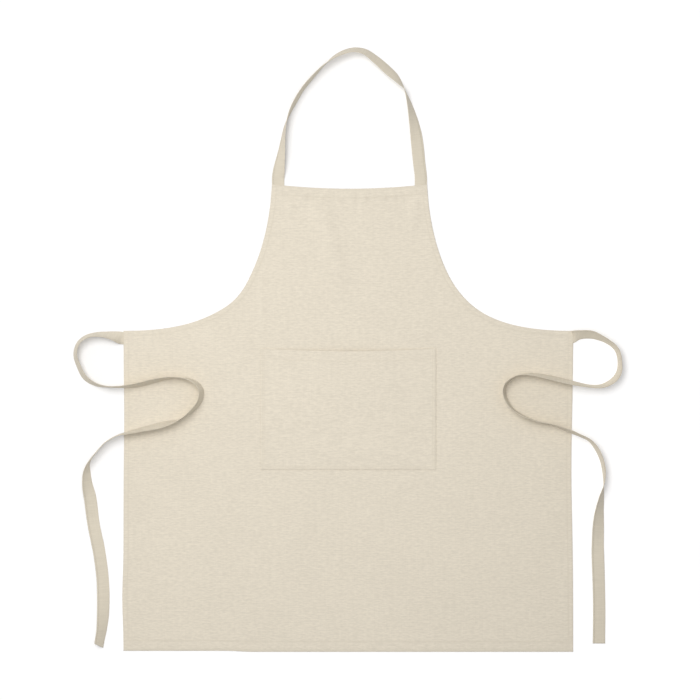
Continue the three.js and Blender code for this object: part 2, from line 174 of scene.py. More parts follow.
def lengths_along(line):
    """How far along the line each of its points is."""
    return np.concatenate([[0], np.cumsum(np.linalg.norm(np.diff(line, axis=0), axis=1))])


def line_length(line):
    return np.linalg.norm(np.diff(line, axis=0), axis=1).sum()


def settle(points):
    """Points of the apron moved as it was laid down: the bib a little to the right, the left armhole
    pushed in, and the side and bottom edges bowed by a few millimetres."""
    points = np.array(points, float)
    x, y = points[:, 0], points[:, 1]
    push = bell(x + 0.197, 0.045) * bell(y - 0.213, 0.04)
    side = BIB_SHIFT * smooth_share(SIDE_CORNER, SIDE_CORNER + 0.14, y)
    on_cloth = 1 - smooth_share(RIGHT, RIGHT + 0.03, np.abs(x))
    hem = smooth_share(0.2, RIGHT, np.abs(x)) * on_cloth
    left = 1.2 * MM * bell(y, 0.09) - 2.2 * MM * bell(y + 0.32, 0.05)
    right = -3.2 * MM * bell(y + 0.09, 0.13)
    foot = (1 - smooth_share(-0.22, -0.17, x)) * (1 - smooth_share(BOTTOM, BOTTOM + 0.1, y)) * on_cloth
    points[:, 0] = x + side + ARMHOLE_PUSH * push + hem * np.where(x > 0, right, left)
    points[:, 1] = y - ARMHOLE_PUSH * push + 1.8 * MM * foot
    return points


# What a user would change


class ApronCloth(bpy.types.PropertyGroup):
    panel_colour: bpy.props.FloatVectorProperty(
        name="Panel colour", description="Unbleached canvas of the panel", subtype="COLOR",
        size=3, min=0, max=1, default=linear("e2d9c8"))
    pocket_colour: bpy.props.FloatVectorProperty(
        name="Pocket colour", description="Canvas of the pocket", subtype="COLOR",
        size=3, min=0, max=1, default=linear("e2d9c8"))
    wave_height: bpy.props.FloatProperty(
        name="Wave height", description="How far the cloth's broad waves stand up",
        default=0.45 * MM, min=0, max=2 * MM, unit="LENGTH")
    pucker_height: bpy.props.FloatProperty(
        name="Pucker height", description="How far the cloth puckers beside its stitches",
        default=0.22 * MM, min=0, max=1 * MM, unit="LENGTH")
    pocket_gape: bpy.props.FloatProperty(
        name="Pocket gape", description="How far the middle of the pocket's mouth stands off the panel",
        default=5.5 * MM, min=0, max=7 * MM, unit="LENGTH")


class ApronTape(bpy.types.PropertyGroup):
    colour: bpy.props.FloatVectorProperty(
        name="Tape colour", description="Cotton tape of the strap and the ties", subtype="COLOR",
        size=3, min=0, max=1, default=linear("dad1bf"))
    thread_colour: bpy.props.FloatVectorProperty(
        name="Thread colour", description="Sewing thread", subtype="COLOR",
        size=3, min=0, max=1, default=linear("ddd4c1"))
    thickness: bpy.props.FloatProperty(
        name="Tape thickness", description="The folded tape's thickness",
        default=1.1 * MM, min=0.5 * MM, max=2 * MM, unit="LENGTH")
    pucker_height: bpy.props.FloatProperty(
        name="Tape pucker", description="How far the tape puckers along its seam",
        default=0.12 * MM, min=0, max=0.5 * MM, unit="LENGTH")


class ApronStage(bpy.types.PropertyGroup):
    view_width: bpy.props.FloatProperty(
        name="View width", description="Width that the camera sees on the floor",
        default=1.246, min=0.5, max=5, unit="LENGTH")
    lens: bpy.props.FloatProperty(
        name="Lens", description="Focal length in millimetres", default=85, min=20, max=300)
    key_power: bpy.props.FloatProperty(
        name="Key light", description="Power of the softbox to the upper left", default=46, min=0, max=1000,
        unit="POWER")
    top_power: bpy.props.FloatProperty(
        name="Top light", description="Power of the softbox overhead", default=7.2, min=0, max=1000,
        unit="POWER")
    fill: bpy.props.FloatProperty(
        name="Fill light", description="Brightness of the surroundings", default=0.42, min=0, max=5)
    # floor_glow is the strength of the floor's painted glow, its own emission, stronger away from its middle.
    floor_glow: bpy.props.FloatProperty(
        name="Floor glow", description="Light coming up through the floor away from its middle", default=0.64,
        min=0, max=2)


# Small tools


def value_noise(x, y, size, seed):
    """Smooth seeded noise from -1 to 1 with features of about that size."""
    cells = 512
    lattice = np.random.default_rng(seed).uniform(-1.0, 1.0, (cells, cells))
    u, v = np.broadcast_arrays(np.asarray(x, float) / size, np.asarray(y, float) / size)
    i, j = np.floor(u).astype(int), np.floor(v).astype(int)
    a, b = u - i, v - j
    a = a * a * a * (a * (6 * a - 15) + 10)
    b = b * b * b * (b * (6 * b - 15) + 10)
    corner = lambda di, dj: lattice[(i + di) % cells, (j + dj) % cells]
    low = corner(0, 0) * (1 - a) + corner(1, 0) * a
    high = corner(0, 1) * (1 - a) + corner(1, 1) * a
    return low * (1 - b) + high * b


def new_piece(name, points, faces, material, smooth=True):
    """A mesh object from points in metres and faces, with one material."""
    mesh = bpy.data.meshes.new(name)
    mesh.from_pydata(settle(points).tolist(), [], faces)
    mesh.validate()
    mesh.materials.append(material)
    piece = bpy.data.objects.new(name, mesh)
    bpy.context.scene.collection.objects.link(piece)
    mesh.polygons.foreach_set("use_smooth", np.full(len(mesh.polygons), smooth))
    mesh.update()
    return piece


def mark_painted_shade(piece, values):
    """Keeps how much painted shade each point gets beside the seams and edges, for the material to darken it."""
    mark = piece.data.attributes.new("seam", "FLOAT", "POINT")
    mark.data.foreach_set("value", values.astype(np.float32))


def deselect_all():
    for thing in bpy.context.selected_objects:
        thing.select_set(False)


# Materials


def add_node(tree, kind, inputs=None, **settings):
    """Adds a node, sets its properties, and sets or links its inputs by name or number."""
    made = tree.nodes.new(kind)
    for key, value in settings.items():
        setattr(made, key, value)
    for key, value in (inputs or {}).items():
        if isinstance(value, bpy.types.NodeSocket):
            tree.links.new(value, made.inputs[key])
        else:
            made.inputs[key].default_value = value
    return made


def streaks(tree, place, across, along, detail=2.0):
    """Noise stretched to threads that are `across` thick one way and `along` long the other."""
    scale = (1 / along, 1 / across, 1 / along)
    mapped = add_node(tree, "ShaderNodeMapping", {"Vector": place, "Scale": scale})
    return add_node(tree, "ShaderNodeTexNoise", {"Vector": mapped.outputs[0], "Scale": 1.0, "Detail": detail,
                                                 "Roughness": 0.55}).outputs["Fac"]


def weighted(tree, terms, start=0.5):
    """start plus each term's distance from a half, times its weight."""
    total = None
    for socket, weight in terms:
        offset = start if total is None else 0.0
        scaled = add_node(tree, "ShaderNodeMath", {0: socket, 1: weight, 2: offset - 0.5 * weight},
                          operation="MULTIPLY_ADD").outputs[0]
        if total is None:
            total = scaled
        else:
            total = add_node(tree, "ShaderNodeMath", {0: total, 1: scaled}, operation="ADD").outputs[0]
    return total


def shaded(colour, share):
    return (*[c * share for c in colour], 1.0)


def mixed(tree, share, low, high):
    """One colour going over into another by a share."""
    return add_node(tree, "ShaderNodeMix", {0: share, 6: low, 7: high}, data_type="RGBA").outputs[2]


def bands(tree, place, size, direction, distortion, detail=2.0):
    """Rounded bands across a direction, which repeat at 0.31 times the size."""
    scaled = add_node(tree, "ShaderNodeMapping", {"Vector": place, "Scale": (1 / size,) * 3}).outputs[0]
    return add_node(tree, "ShaderNodeTexWave", {"Vector": scaled, "Scale": 1.0, "Distortion": distortion,
                                                "Detail": detail}, bands_direction=direction).outputs["Fac"]


def new_material(name):
    """A new material and its nodes."""
    material = bpy.data.materials.new(name)
    material.use_nodes = True
    return material, material.node_tree


def finish_shader(tree, colour, values, height=None, strength=0.0, depth=0.0):
    """Joins a colour to the shader, and a bump where there is a height, and sets its other values."""
    shader = tree.nodes["Principled BSDF"]
    tree.links.new(colour, shader.inputs["Base Color"])
    if height is not None:
        bump = add_node(tree, "ShaderNodeBump", {"Height": height, "Strength": strength, "Distance": depth})
        tree.links.new(bump.outputs[0], shader.inputs["Normal"])
    for key, value in values.items():
        shader.inputs[key].default_value = value
    return shader


def woven_canvas(name, colour):
    """Unbleached plain-weave cotton canvas, washed and pressed. Its uneven yarns give faint streaks along
    the weft, and a matt surface with a trace of fuzz."""
    material, tree = new_material(name)
    place = add_node(tree, "ShaderNodeTexCoord").outputs["Object"]
    quarter_turn = {"Vector": place, "Rotation": (0, 0, math.pi / 2)}
    turned = add_node(tree, "ShaderNodeMapping", quarter_turn).outputs[0]
    # Yarns are 0.6 mm apart, and only the thick ones show: those are 2 mm wide here, and 50 mm long.
    # Their slubs are 6 mm long, and drawn four yarns wide.
    weft = streaks(tree, place, 2.2 * MM, 50 * MM)
    warp = streaks(tree, turned, 2.4 * MM, 60 * MM)
    slubs = streaks(tree, place, 2.4 * MM, 8 * MM, detail=1.0)
    cloud = streaks(tree, place, 90 * MM, 120 * MM)
    # The weave itself is drawn twice as coarse as it is, at 1.2 mm, so that it shows from close by.
    over, under = (bands(tree, place, 7.5 * MM, direction, 0.4, detail=1.0) for direction in "XY")
    weave = add_node(tree, "ShaderNodeMath", {0: over, 1: under}, operation="MULTIPLY").outputs[0]
    # The seam attribute carries painted shade: the cloth is painted up to a tenth darker in the puckers'
    # hollows, along rows of stitches and folded edges, and as a painted shadow along the pocket's right edge.
    seam = add_node(tree, "ShaderNodeAttribute", attribute_name="seam").outputs["Fac"]
    share = weighted(tree, [(weft, 0.8), (warp, 0.5), (slubs, 2.0), (cloud, 0.4), (weave, 0.15)])
    plain = mixed(tree, share, shaded(colour, 0.92), shaded(colour, 1.05))
    height = weighted(tree, [(weft, 0.3), (warp, 0.2), (slubs, 1.0), (weave, 0.6)])
    finish_shader(tree, mixed(tree, seam, plain, shaded(colour, 0.9)),
                  {"Roughness": 0.92, "Specular IOR Level": 0.2, "Sheen Weight": 0.12,
                   "Sheen Roughness": 0.6},
                  height, 0.35, 0.25 * MM)
    return material


def folded_tape(name, colour):
    """Cotton tape, folded lengthwise, pressed and sewn along one edge. Its cross ribs are drawn as fine lighter
    and darker bars in its colour, painted light and shade beside their bump, and the groove of its seam is
    painted darker as painted shade."""
    material, tree = new_material(name)
    length_across = add_node(tree, "ShaderNodeUVMap", uv_map="tape").outputs[0]
    # Ribs are 0.8 mm apart on the tape. They are drawn 1.6 mm apart, and groups of them 2.4 mm wide.
    bars = streaks(tree, length_across, 30 * MM, 2.4 * MM)
    lengthwise = streaks(tree, length_across, 1.5 * MM, 60 * MM)
    cloud = streaks(tree, length_across, 25 * MM, 60 * MM)
    ribs = bands(tree, length_across, 5 * MM, "X", 0.6)
    # The seam attribute carries painted shade: the tape is painted up to a fifth darker in the groove along its
    # row of stitches.
    seam = add_node(tree, "ShaderNodeAttribute", attribute_name="seam").outputs["Fac"]
    # The bars and ribs also lighten and darken the colour, as painted light and shade of the ribs; the
    # lengthwise streaks and the cloud vary its tone at random.
    share = weighted(tree, [(bars, 1.1), (lengthwise, 0.5), (cloud, 0.5), (ribs, 0.15)])
    plain = mixed(tree, share, shaded(colour, 0.9), shaded(colour, 1.06))
    height = weighted(tree, [(bars, 0.8), (ribs, 0.5), (lengthwise, 0.3)])
    finish_shader(tree, mixed(tree, seam, plain, shaded(colour, 0.8)),
                  {"Roughness": 0.9, "Specular IOR Level": 0.2, "Sheen Weight": 0.1, "Sheen Roughness": 0.6},
                  height, 0.4, 0.3 * MM)
    return material


def spun_thread(name, colour):
    """Two-ply cotton sewing thread, matt, a shade deeper than the cloth. Its twist is drawn as small lighter and
    darker patches in its colour, painted light and shade of its turns, with a matching bump."""
    material, tree = new_material(name)
    place = add_node(tree, "ShaderNodeTexCoord").outputs["Object"]
    twist = streaks(tree, place, 0.5 * MM, 0.5 * MM)
    finish_shader(tree, mixed(tree, twist, shaded(colour, 0.86), shaded(colour, 1.08)),
                  {"Roughness": 0.8, "Sheen Weight": 0.1}, twist, 0.3, 0.1 * MM)
    return material


def painted_glow_floor(name, glow):
    """A pale, matt floor sheet that glows by its own emission: a painted glow, weakest near the apron and
    growing towards its edges. Its colour has a barely visible unevenness."""
    material, tree = new_material(name)
    place = add_node(tree, "ShaderNodeTexCoord").outputs["Object"]
    patch = streaks(tree, place, 400 * MM, 400 * MM)
    hue = mixed(tree, patch, (0.9, 0.9, 0.91, 1), (0.93, 0.93, 0.94, 1))
    shader = finish_shader(tree, hue, {"Roughness": 0.95, "Specular IOR Level": 0.1})
    # The painted glow: emission growing from a small share at GLOW_CENTRE to full strength far away.
    away = add_node(tree, "ShaderNodeVectorMath", {0: place, 1: GLOW_CENTRE}, operation="DISTANCE")
    rim = add_node(tree, "ShaderNodeMapRange", {0: away.outputs["Value"], 1: GLOW_START, 2: GLOW_END,
                                                3: GLOW_LEAST * glow, 4: glow})
    tree.links.new(hue, shader.inputs["Emission Color"])
    tree.links.new(rim.outputs[0], shader.inputs["Emission Strength"])
    return material


def material_named(name, make, *facts):
    return bpy.data.materials.get(name) or make(name, *facts)


# The panel's outline


def armhole_curve(samples=240):
    """Points down the right armhole, from the bib's corner to the side corner, evenly spaced."""
    sweep = RIGHT - BIB_CORNER
    spans = (((0, 0), (0.012, 0.253), (0.076, 0.552), (0.218, 0.728)),
             ((0.218, 0.728), (0.332, 0.87), (0.504, 1), (1, 1)))
    t = np.linspace(0, 1, samples)[:, None]
    points = []
    for a, b, c, d in np.array(spans, float):
        points.append((1 - t) ** 3 * a + 3 * (1 - t) ** 2 * t * b + 3 * (1 - t) * t * t * c + t ** 3 * d)
    line = np.vstack([points[0], points[1][1:]])
    line = np.column_stack([BIB_CORNER + line[:, 0] * sweep, TOP - line[:, 1] * ARMHOLE_DEPTH])
    return evenly(line, samples)


def evenly(line, count):
    """The line again with that many points, evenly spaced."""
    along = lengths_along(line)
    at = np.linspace(0, along[-1], count)
    return np.column_stack([np.interp(at, along, line[:, k]) for k in range(line.shape[1])])


def bib_edge(x):
    """The height of the bib's top edge, which sags between its corners."""
    return TOP - BIB_EDGE_SAG * np.clip(1 - (x / BIB_CORNER) ** 2, 0, None)


ARMHOLE = armhole_curve()
ARMHOLE_LENGTH = line_length(ARMHOLE)


def moved_armhole(inset):
    """The right armhole, moved into the cloth by a distance."""
    along = np.gradient(ARMHOLE, axis=0)
    along /= np.linalg.norm(along, axis=1)[:, None]
    return ARMHOLE + inset * np.column_stack([along[:, 1], -along[:, 0]])


def outline_ring(insets):
    """The panel's outline moved into the cloth by one distance for each edge: the bottom, then
    anticlockwise. Every ring has the same number of points, which match from ring to ring."""
    line = moved_armhole(insets["armhole"])
    inside_side = line[:, 0] <= RIGHT - insets["side"]
    inside_bib = line[:, 1] <= bib_edge(line[:, 0]) - insets["bib"]
    kept = np.flatnonzero(inside_side & inside_bib)
    first, last = kept[0], kept[-1]
    part = line[first : last + 1]
    if first > 0:
        low, high = line[first], line[first - 1]
        reach = lambda p: p[1] - (bib_edge(p[0]) - insets["bib"])
        share = reach(low) / (reach(low) - reach(high))
        part = np.vstack([low + share * (high - low), part])
    if last < len(line) - 1:
        low, high = line[last], line[last + 1]
        share = (RIGHT - insets["side"] - low[0]) / (high[0] - low[0])
        part = np.vstack([part, low + share * (high - low)])
    else:
        part = np.vstack([part, [RIGHT - insets["side"], part[-1, 1]]])
    right_arm = evenly(part, int(ARMHOLE_LENGTH / EDGE_STEP) + 1)[::-1]
    low_y = BOTTOM + insets["bottom"]
    corner_x = RIGHT - insets["side"]
    across = int(2 * RIGHT / EDGE_STEP)
    up = int((SIDE_CORNER - BOTTOM) / EDGE_STEP)
    bottom = np.column_stack([np.linspace(-corner_x, corner_x, across + 1), np.full(across + 1, low_y)])
    right_side = np.column_stack([np.full(up + 1, corner_x), np.linspace(low_y, right_arm[0, 1], up + 1)])
    top_x = np.linspace(right_arm[-1, 0], -right_arm[-1, 0], int(2 * BIB_CORNER / EDGE_STEP) + 1)
    top = np.column_stack([top_x, bib_edge(top_x) - insets["bib"]])
    mirror = lambda points: points[::-1] * (-1, 1)
    parts = [bottom, right_side, right_arm, top, mirror(right_arm), mirror(right_side)]
    return np.vstack([p[:-1] for p in parts])


def ring_insets():
    """The rings' distances from each edge: close at the fold, at the row of stitches and at the hem's
    inner edge, and then out into the plain cloth."""
    rings = []
    for share in (0, 0.15, 0.5, 1):
        rings.append({edge: share * EDGE_ROUND for edge in HEMS})
    for share in (0.35, 0.6, 0.82, 1):
        rings.append({edge: share * (hem - ROW_INSET) for edge, hem in HEMS.items()})
    for past in (-0.2 * MM, 0.2 * MM, 3 * MM, 7 * MM, 12 * MM):
        rings.append({edge: hem + past for edge, hem in HEMS.items()})
    return rings


def edge_facts(x, y):
    """For each edge, how far places are from it and how far along it they lie."""
    span = np.abs(x)
    line = ARMHOLE
    far, along = np.full(len(x), np.inf), np.zeros(len(x))
    step = ARMHOLE_LENGTH / (len(line) - 1)
    for i in range(len(line) - 1):
        a, d = line[i], line[i + 1] - line[i]
        share = np.clip(((span - a[0]) * d[0] + (y - a[1]) * d[1]) / (d @ d), 0, 1)
        away = np.hypot(span - a[0] - share * d[0], y - a[1] - share * d[1])
        closer = away < far
        far[closer], along[closer] = away[closer], (i + share[closer]) * step
    return {"bottom": (y - BOTTOM, x), "side": (RIGHT - span, y),
            "armhole": (far, along), "bib": (bib_edge(x) - y, x)}


def tape_behind(x, y):
    """1 where a tape is sewn behind the panel, easing to 0 around it."""
    ease = 2.5 * MM
    span = np.abs(x)
    neck = smooth_share(NECK_SEAM - TAPE_WIDTH / 2 - ease, NECK_SEAM - TAPE_WIDTH / 2 - 0.3 * MM, span)
    neck = neck * smooth_share(NECK_TUCK_END - ease, NECK_TUCK_END - 0.3 * MM, y)
    tie = smooth_share(RIGHT - TIE_TUCK - ease, RIGHT - TIE_TUCK - 0.3 * MM, span)
    edge = TAPE_WIDTH / 2 + 3 * MM
    tie = tie * (1 - smooth_share(edge, edge + ease, np.abs(y - TIE_HEIGHT)))
    return np.maximum(neck, tie)


def folds(x, y):
    """How high the soft folds stand."""
    total = np.zeros(len(x))
    for start, end, half, high in FOLDS:
        a, d = np.array(start), np.subtract(end, start)
        long = np.linalg.norm(d)
        share = ((x - a[0]) * d[0] + (y - a[1]) * d[1]) / long ** 2
        away = ((x - a[0]) * d[1] - (y - a[1]) * d[0]) / long
        fade = smooth_share(-0.05, 0.25, share) * (1 - smooth_share(0.7, 1.05, share))
        total += high * fade * bell(away, half)
    return total


def panel_surface(x, y, cloth):
    """The panel's face and underside heights, and the painted shade of its pucker hollows, stitch rows and
    folded edges.
    """
    x, y = np.asarray(x, float), np.asarray(y, float)
    facts = edge_facts(x, y)
    share, past, outer = np.full((3, len(x)), np.inf)
    pucker, seam, hem_part = np.zeros((3, len(x)))
    for seed, edge in enumerate(HEMS):
        away, along = facts[edge]
        row = HEMS[edge] - ROW_INSET
        share = np.minimum(share, away / row)
        past = np.minimum(past, away - row)
        outer = np.minimum(outer, away)
        near = bell(away - row, 9 * MM)
        ripple = value_noise(along, 0.35 * away, 7 * MM, 20 + seed)
        ripple = ripple + 0.6 * value_noise(along, 0, 13 * MM, 30 + seed)
        pucker += PUCKERED[edge] * near * ripple * cloth.pucker_height
        # Painted shade: the puckers' hollows, the rows of stitches and the folded edges are marked for the
        # material to paint darker.
        hollow_shade = 0.07 * PUCKERED[edge] * near * np.clip(-ripple, 0, 1)
        row_shade, fold_shade = 0.5 * bell(away - row, 1.2 * MM), 0.7 * bell(away, 1.3 * MM)
        seam = np.max([seam, hollow_shade, row_shade, fold_shade], axis=0)
        hem_part = np.maximum(hem_part, away < HEMS[edge])
    waves = 0.6 * value_noise(x, y, 170 * MM, 1) + 0.3 * value_noise(x, y, 70 * MM, 2)
    waves += 0.1 * value_noise(x, y, 28 * MM, 3)
    gathers = value_noise(x, 0, 7 * MM, 4) * smooth_share(0.02, 0.06, x) * (1 - smooth_share(0.15, 0.17, x))
    gathers = gathers * bell(y - 0.146, 14 * MM)
    plain = FLAT_LEVEL + 2.6 * cloth.pucker_height * gathers + cloth.wave_height * waves + folds(x, y)
    crown = HEM_CROWN * np.sin(math.pi * np.clip(share, 0, 1)) ** 0.7
    inner = (plain - ROW_LEVEL) * smooth_share(0, 16 * MM, past)
    face = ROW_LEVEL + np.where(past < 0, crown, inner)
    face = face + np.clip(pucker, *PUCKER_RANGE) * smooth_share(0, 2 * MM, outer)
    behind = tape_behind(x, y)
    face = face + behind * np.maximum(0, 2.0 * MM - face)
    under = np.where(hem_part > 0, UNDERSIDE, face - CLOTH)
    under = np.maximum(under, behind * TAPE_ROOM)
    middle = (face + under) / 2
    bulge = np.sqrt(np.clip(1 - (1 - np.clip(outer / EDGE_ROUND, 0, 1)) ** 2, 0, 1))
    return middle + (face - middle) * bulge, middle - (middle - under) * bulge, seam


def make_panel(cloth):
    """The body panel as one closed sheet, with its hems turned under and sewn."""
    rings = [outline_ring(insets) for insets in ring_insets()]
    count = len(rings[0])
    rim = rings[-1]
    grid_x, grid_y = np.meshgrid(np.arange(-RIGHT, RIGHT, GRID_STEP) + GRID_STEP / 2,
                                 np.arange(BOTTOM, TOP, GRID_STEP) + GRID_STEP / 2)
    grid = np.column_stack([grid_x.ravel(), grid_y.ravel()])
    facts = edge_facts(grid[:, 0], grid[:, 1])
    room = 12 * MM + GRID_STEP * 0.6
    inside = np.all([facts[edge][0] > HEMS[edge] + room for edge in HEMS], axis=0)
    inside &= (grid[:, 1] < SIDE_CORNER) | (np.abs(grid[:, 0]) < np.interp(
        grid[:, 1], ARMHOLE[::-1, 1], ARMHOLE[::-1, 0]))
    grid = grid[inside]
    field = np.vstack([rim, grid])
    edges = [(i, (i + 1) % count) for i in range(count)]
    made = delaunay_2d_cdt([Vector(p) for p in field], edges, [], 1, 1e-7)
    source = [origins[0] for origins in made[3]]
    flat = np.vstack([*rings, grid])
    base = (len(rings) - 1) * count
    faces = []
    for k in range(len(rings) - 1):
        for i in range(count):
            j = (i + 1) % count
            faces.append((k * count + i, k * count + j, (k + 1) * count + j, (k + 1) * count + i))
    for face in made[2]:
        faces.append(tuple(base + source[v] for v in face))
    high, low, seam = panel_surface(flat[:, 0], flat[:, 1], cloth)
    lower = np.arange(len(flat)) + len(flat) - count
    lower[:count] = np.arange(count)
    points = np.vstack([np.column_stack([flat, high]), np.column_stack([flat, low])[count:]])
    faces += [tuple(int(lower[v]) for v in reversed(face)) for face in faces]
    piece = new_piece("apron_panel", points, faces, material_named("Woven canvas panel", woven_canvas,
                                                                  cloth.panel_colour))
    mark_painted_shade(piece, np.concatenate([seam, seam[count:]]))
    ring = rings[0]
    area = 0.5 * abs(np.sum(ring[:, 0] * np.roll(ring[:, 1], -1) - np.roll(ring[:, 0], -1) * ring[:, 1]))
    turned = (2 * RIGHT * TURNED_UNDER["bottom"] + 2 * (SIDE_CORNER - BOTTOM) * TURNED_UNDER["side"]
              + 2 * ARMHOLE_LENGTH * TURNED_UNDER["armhole"] + 2 * BIB_CORNER * TURNED_UNDER["bib"])
    return piece, area + turned


# The pocket


def pocket_lines(low, high, low_marks, high_marks, step):
    """Places from low to high: the marks near either end, and even steps between."""
    start, end = low + low_marks[-1], high - high_marks[-1]
    count = max(2, round((end - start) / step))
    return np.concatenate([low + np.array(low_marks), np.linspace(start, end, count + 1)[1:-1],
                           (high - np.array(high_marks))[::-1]])


def pocket_surface(x, y, cloth):
    """The pocket's face and underside, its sagging y, and its painted shade along its stitches and a painted
    shadow along its right edge.
    """
    half = (POCKET_HIGH.x - POCKET_LOW.x) / 2
    height = POCKET_HIGH.y - POCKET_LOW.y
    side = half - np.abs(x)
    left, right = half + x, half - x
    foot = y - POCKET_LOW.y
    mouth = POCKET_HIGH.y - y
    sag = POCKET_SAG * (foot / height) * np.cos(math.pi * x / (2 * half))
    place = y - sag
    base = panel_surface(x, place, cloth)[0] + POCKET_AIR
    sewn = np.minimum(side, foot)
    turned = 1 - smooth_share(POCKET_TURNED - 0.3 * MM, POCKET_TURNED + 0.3 * MM, sewn)
    hem = 1 - smooth_share(POCKET_HEM - 0.3 * MM, POCKET_HEM + 0.3 * MM, mouth)
    thick = CLOTH * (1 + 0.9 * turned + 1.1 * hem * (1 - 0.6 * turned))
    span = np.clip((np.abs(x)) / (half - POCKET_ROWS[1]), 0, 1)
    depth = np.clip((POCKET_HIGH.y - y) / (height - POCKET_TURNED), 0, 1)
    lift = cloth.pocket_gape * np.cos(math.pi * span / 2) ** 1.5 * (1 - depth ** 1.5)
    lift = lift + 0.25 * MM * smooth_share(8 * MM, 40 * MM, sewn) * (1 + value_noise(x, y, 45 * MM, 8))
    near = bell(sewn - 4.5 * MM, 6 * MM)
    ripple = value_noise(x + 2 * y, y - x, 8 * MM, 9)
    # Painted shade along the rows of stitches and the mouth hem's row, and a stronger painted shadow along the
    # right edge, the side away from the light.
    marks = [0.25 * bell(sewn - row, 1 * MM) for row in POCKET_ROWS]
    marks += [0.2 * bell(mouth - POCKET_HEM + ROW_INSET, 1 * MM), 0.8 * bell(right, 0.9 * MM)]
    seam = np.max(marks, axis=0)
    face = base + lift + 1.15 * MM - 0.05 * MM * seam + 0.4 * cloth.pucker_height * near * (ripple + 1)
    under = np.maximum(face - thick, base)
    rim = np.min([left / (4.5 * MM), foot / (4.5 * MM), right / (0.6 * MM), mouth / (0.6 * MM)], axis=0)
    bulge = np.sqrt(np.clip(1 - (1 - np.clip(rim, 0, 1)) ** 2, 0, 1))
    middle = (face + under) / 2
    return place, middle + (face - middle) * bulge, middle - (middle - under) * bulge, seam


def make_pocket(cloth):
    """The patch pocket as one closed sheet, sewn down on three sides, with a hemmed mouth."""
    fold = [0, 0.1 * MM, 0.3 * MM, 0.6 * MM, 1.8 * MM]
    sewn = fold + [POCKET_ROWS[0], 4.5 * MM, POCKET_ROWS[1], 8 * MM, 9.7 * MM, 10.3 * MM, 13 * MM]
    hem = fold + [5 * MM, 10 * MM, 15 * MM, POCKET_HEM - ROW_INSET, 19.7 * MM, 20.3 * MM, 24 * MM]
    columns = pocket_lines(POCKET_LOW.x, POCKET_HIGH.x, sewn, sewn, 4 * MM)
    rows = pocket_lines(POCKET_LOW.y, POCKET_HIGH.y, sewn, hem, 4 * MM)
    x, y = (a.ravel() for a in np.meshgrid(columns, rows))
    place, high, low, seam = pocket_surface(x, y, cloth)
    wide, tall = len(columns), len(rows)
    index = np.arange(wide * tall).reshape(tall, wide)
    rim = np.zeros((tall, wide), bool)
    rim[0], rim[-1], rim[:, 0], rim[:, -1] = True, True, True, True
    lower = index.copy()
    lower[~rim] = wide * tall + np.arange((~rim).sum())
    points = np.vstack([np.column_stack([x, place, high]), np.column_stack([x, place, low])[~rim.ravel()]])
    faces = []
    for turned, layer in ((False, index), (True, lower)):
        quads = np.stack([layer[:-1, :-1], layer[:-1, 1:], layer[1:, 1:], layer[1:, :-1]], axis=-1)
        quads = quads.reshape(-1, 4).tolist()
        faces += [tuple(reversed(q)) if turned else tuple(q) for q in quads]
    piece = new_piece("patch_pocket", points, faces, material_named("Woven canvas pocket", woven_canvas,
                                                                   cloth.pocket_colour))
    mark_painted_shade(piece, np.concatenate([seam, seam[~rim.ravel()]]))
    return piece


# The tapes


def between(p1, p2, m1, m2, w):
    """The smooth curve from p1 to p2 with slopes m1 and m2, at shares w from 0 to 1."""
    return p1 + m1 * w + (-3 * p1 + 3 * p2 - 2 * m1 - m2) * w ** 2 + (2 * p1 - 2 * p2 + m1 + m2) * w ** 3


def centripetal(points, t):
    """A smooth curve through the points, at places from 0 to 1, evenly shared between them."""
    points = np.asarray(points, float)
    padded = np.vstack([2 * points[0] - points[1], points, 2 * points[-1] - points[-2]])
    place = np.asarray(t) * (len(points) - 1)
    span = np.minimum(place.astype(int), len(points) - 2)
    w = (place - span)[:, None]
    p0, p1, p2, p3 = (padded[span + k] for k in range(4))
    gap = lambda a, b: np.maximum(((a - b) ** 2).sum(1), 1e-12)[:, None] ** 0.25
    d0, d1, d2 = gap(p0, p1), gap(p1, p2), gap(p2, p3)
    m1 = ((p1 - p0) / d0 - (p2 - p0) / (d0 + d1) + (p2 - p1) / d1) * d1
    m2 = ((p2 - p1) / d1 - (p3 - p1) / (d1 + d2) + (p3 - p2) / d2) * d1
    return between(p1, p2, m1, m2, w)


def even_curve(values, t):
    """A smooth curve through evenly spaced values."""
    values = np.asarray(values, float)
    padded = np.concatenate([[2 * values[0] - values[1]], values, [2 * values[-1] - values[-2]]])
    place = np.asarray(t) * (len(values) - 1)
    span = np.minimum(place.astype(int), len(values) - 2)
    w = place - span
    p0, p1, p2, p3 = (padded[span + k] for k in range(4))
    return between(p1, p2, (p2 - p0) / 2, (p3 - p1) / 2, w)


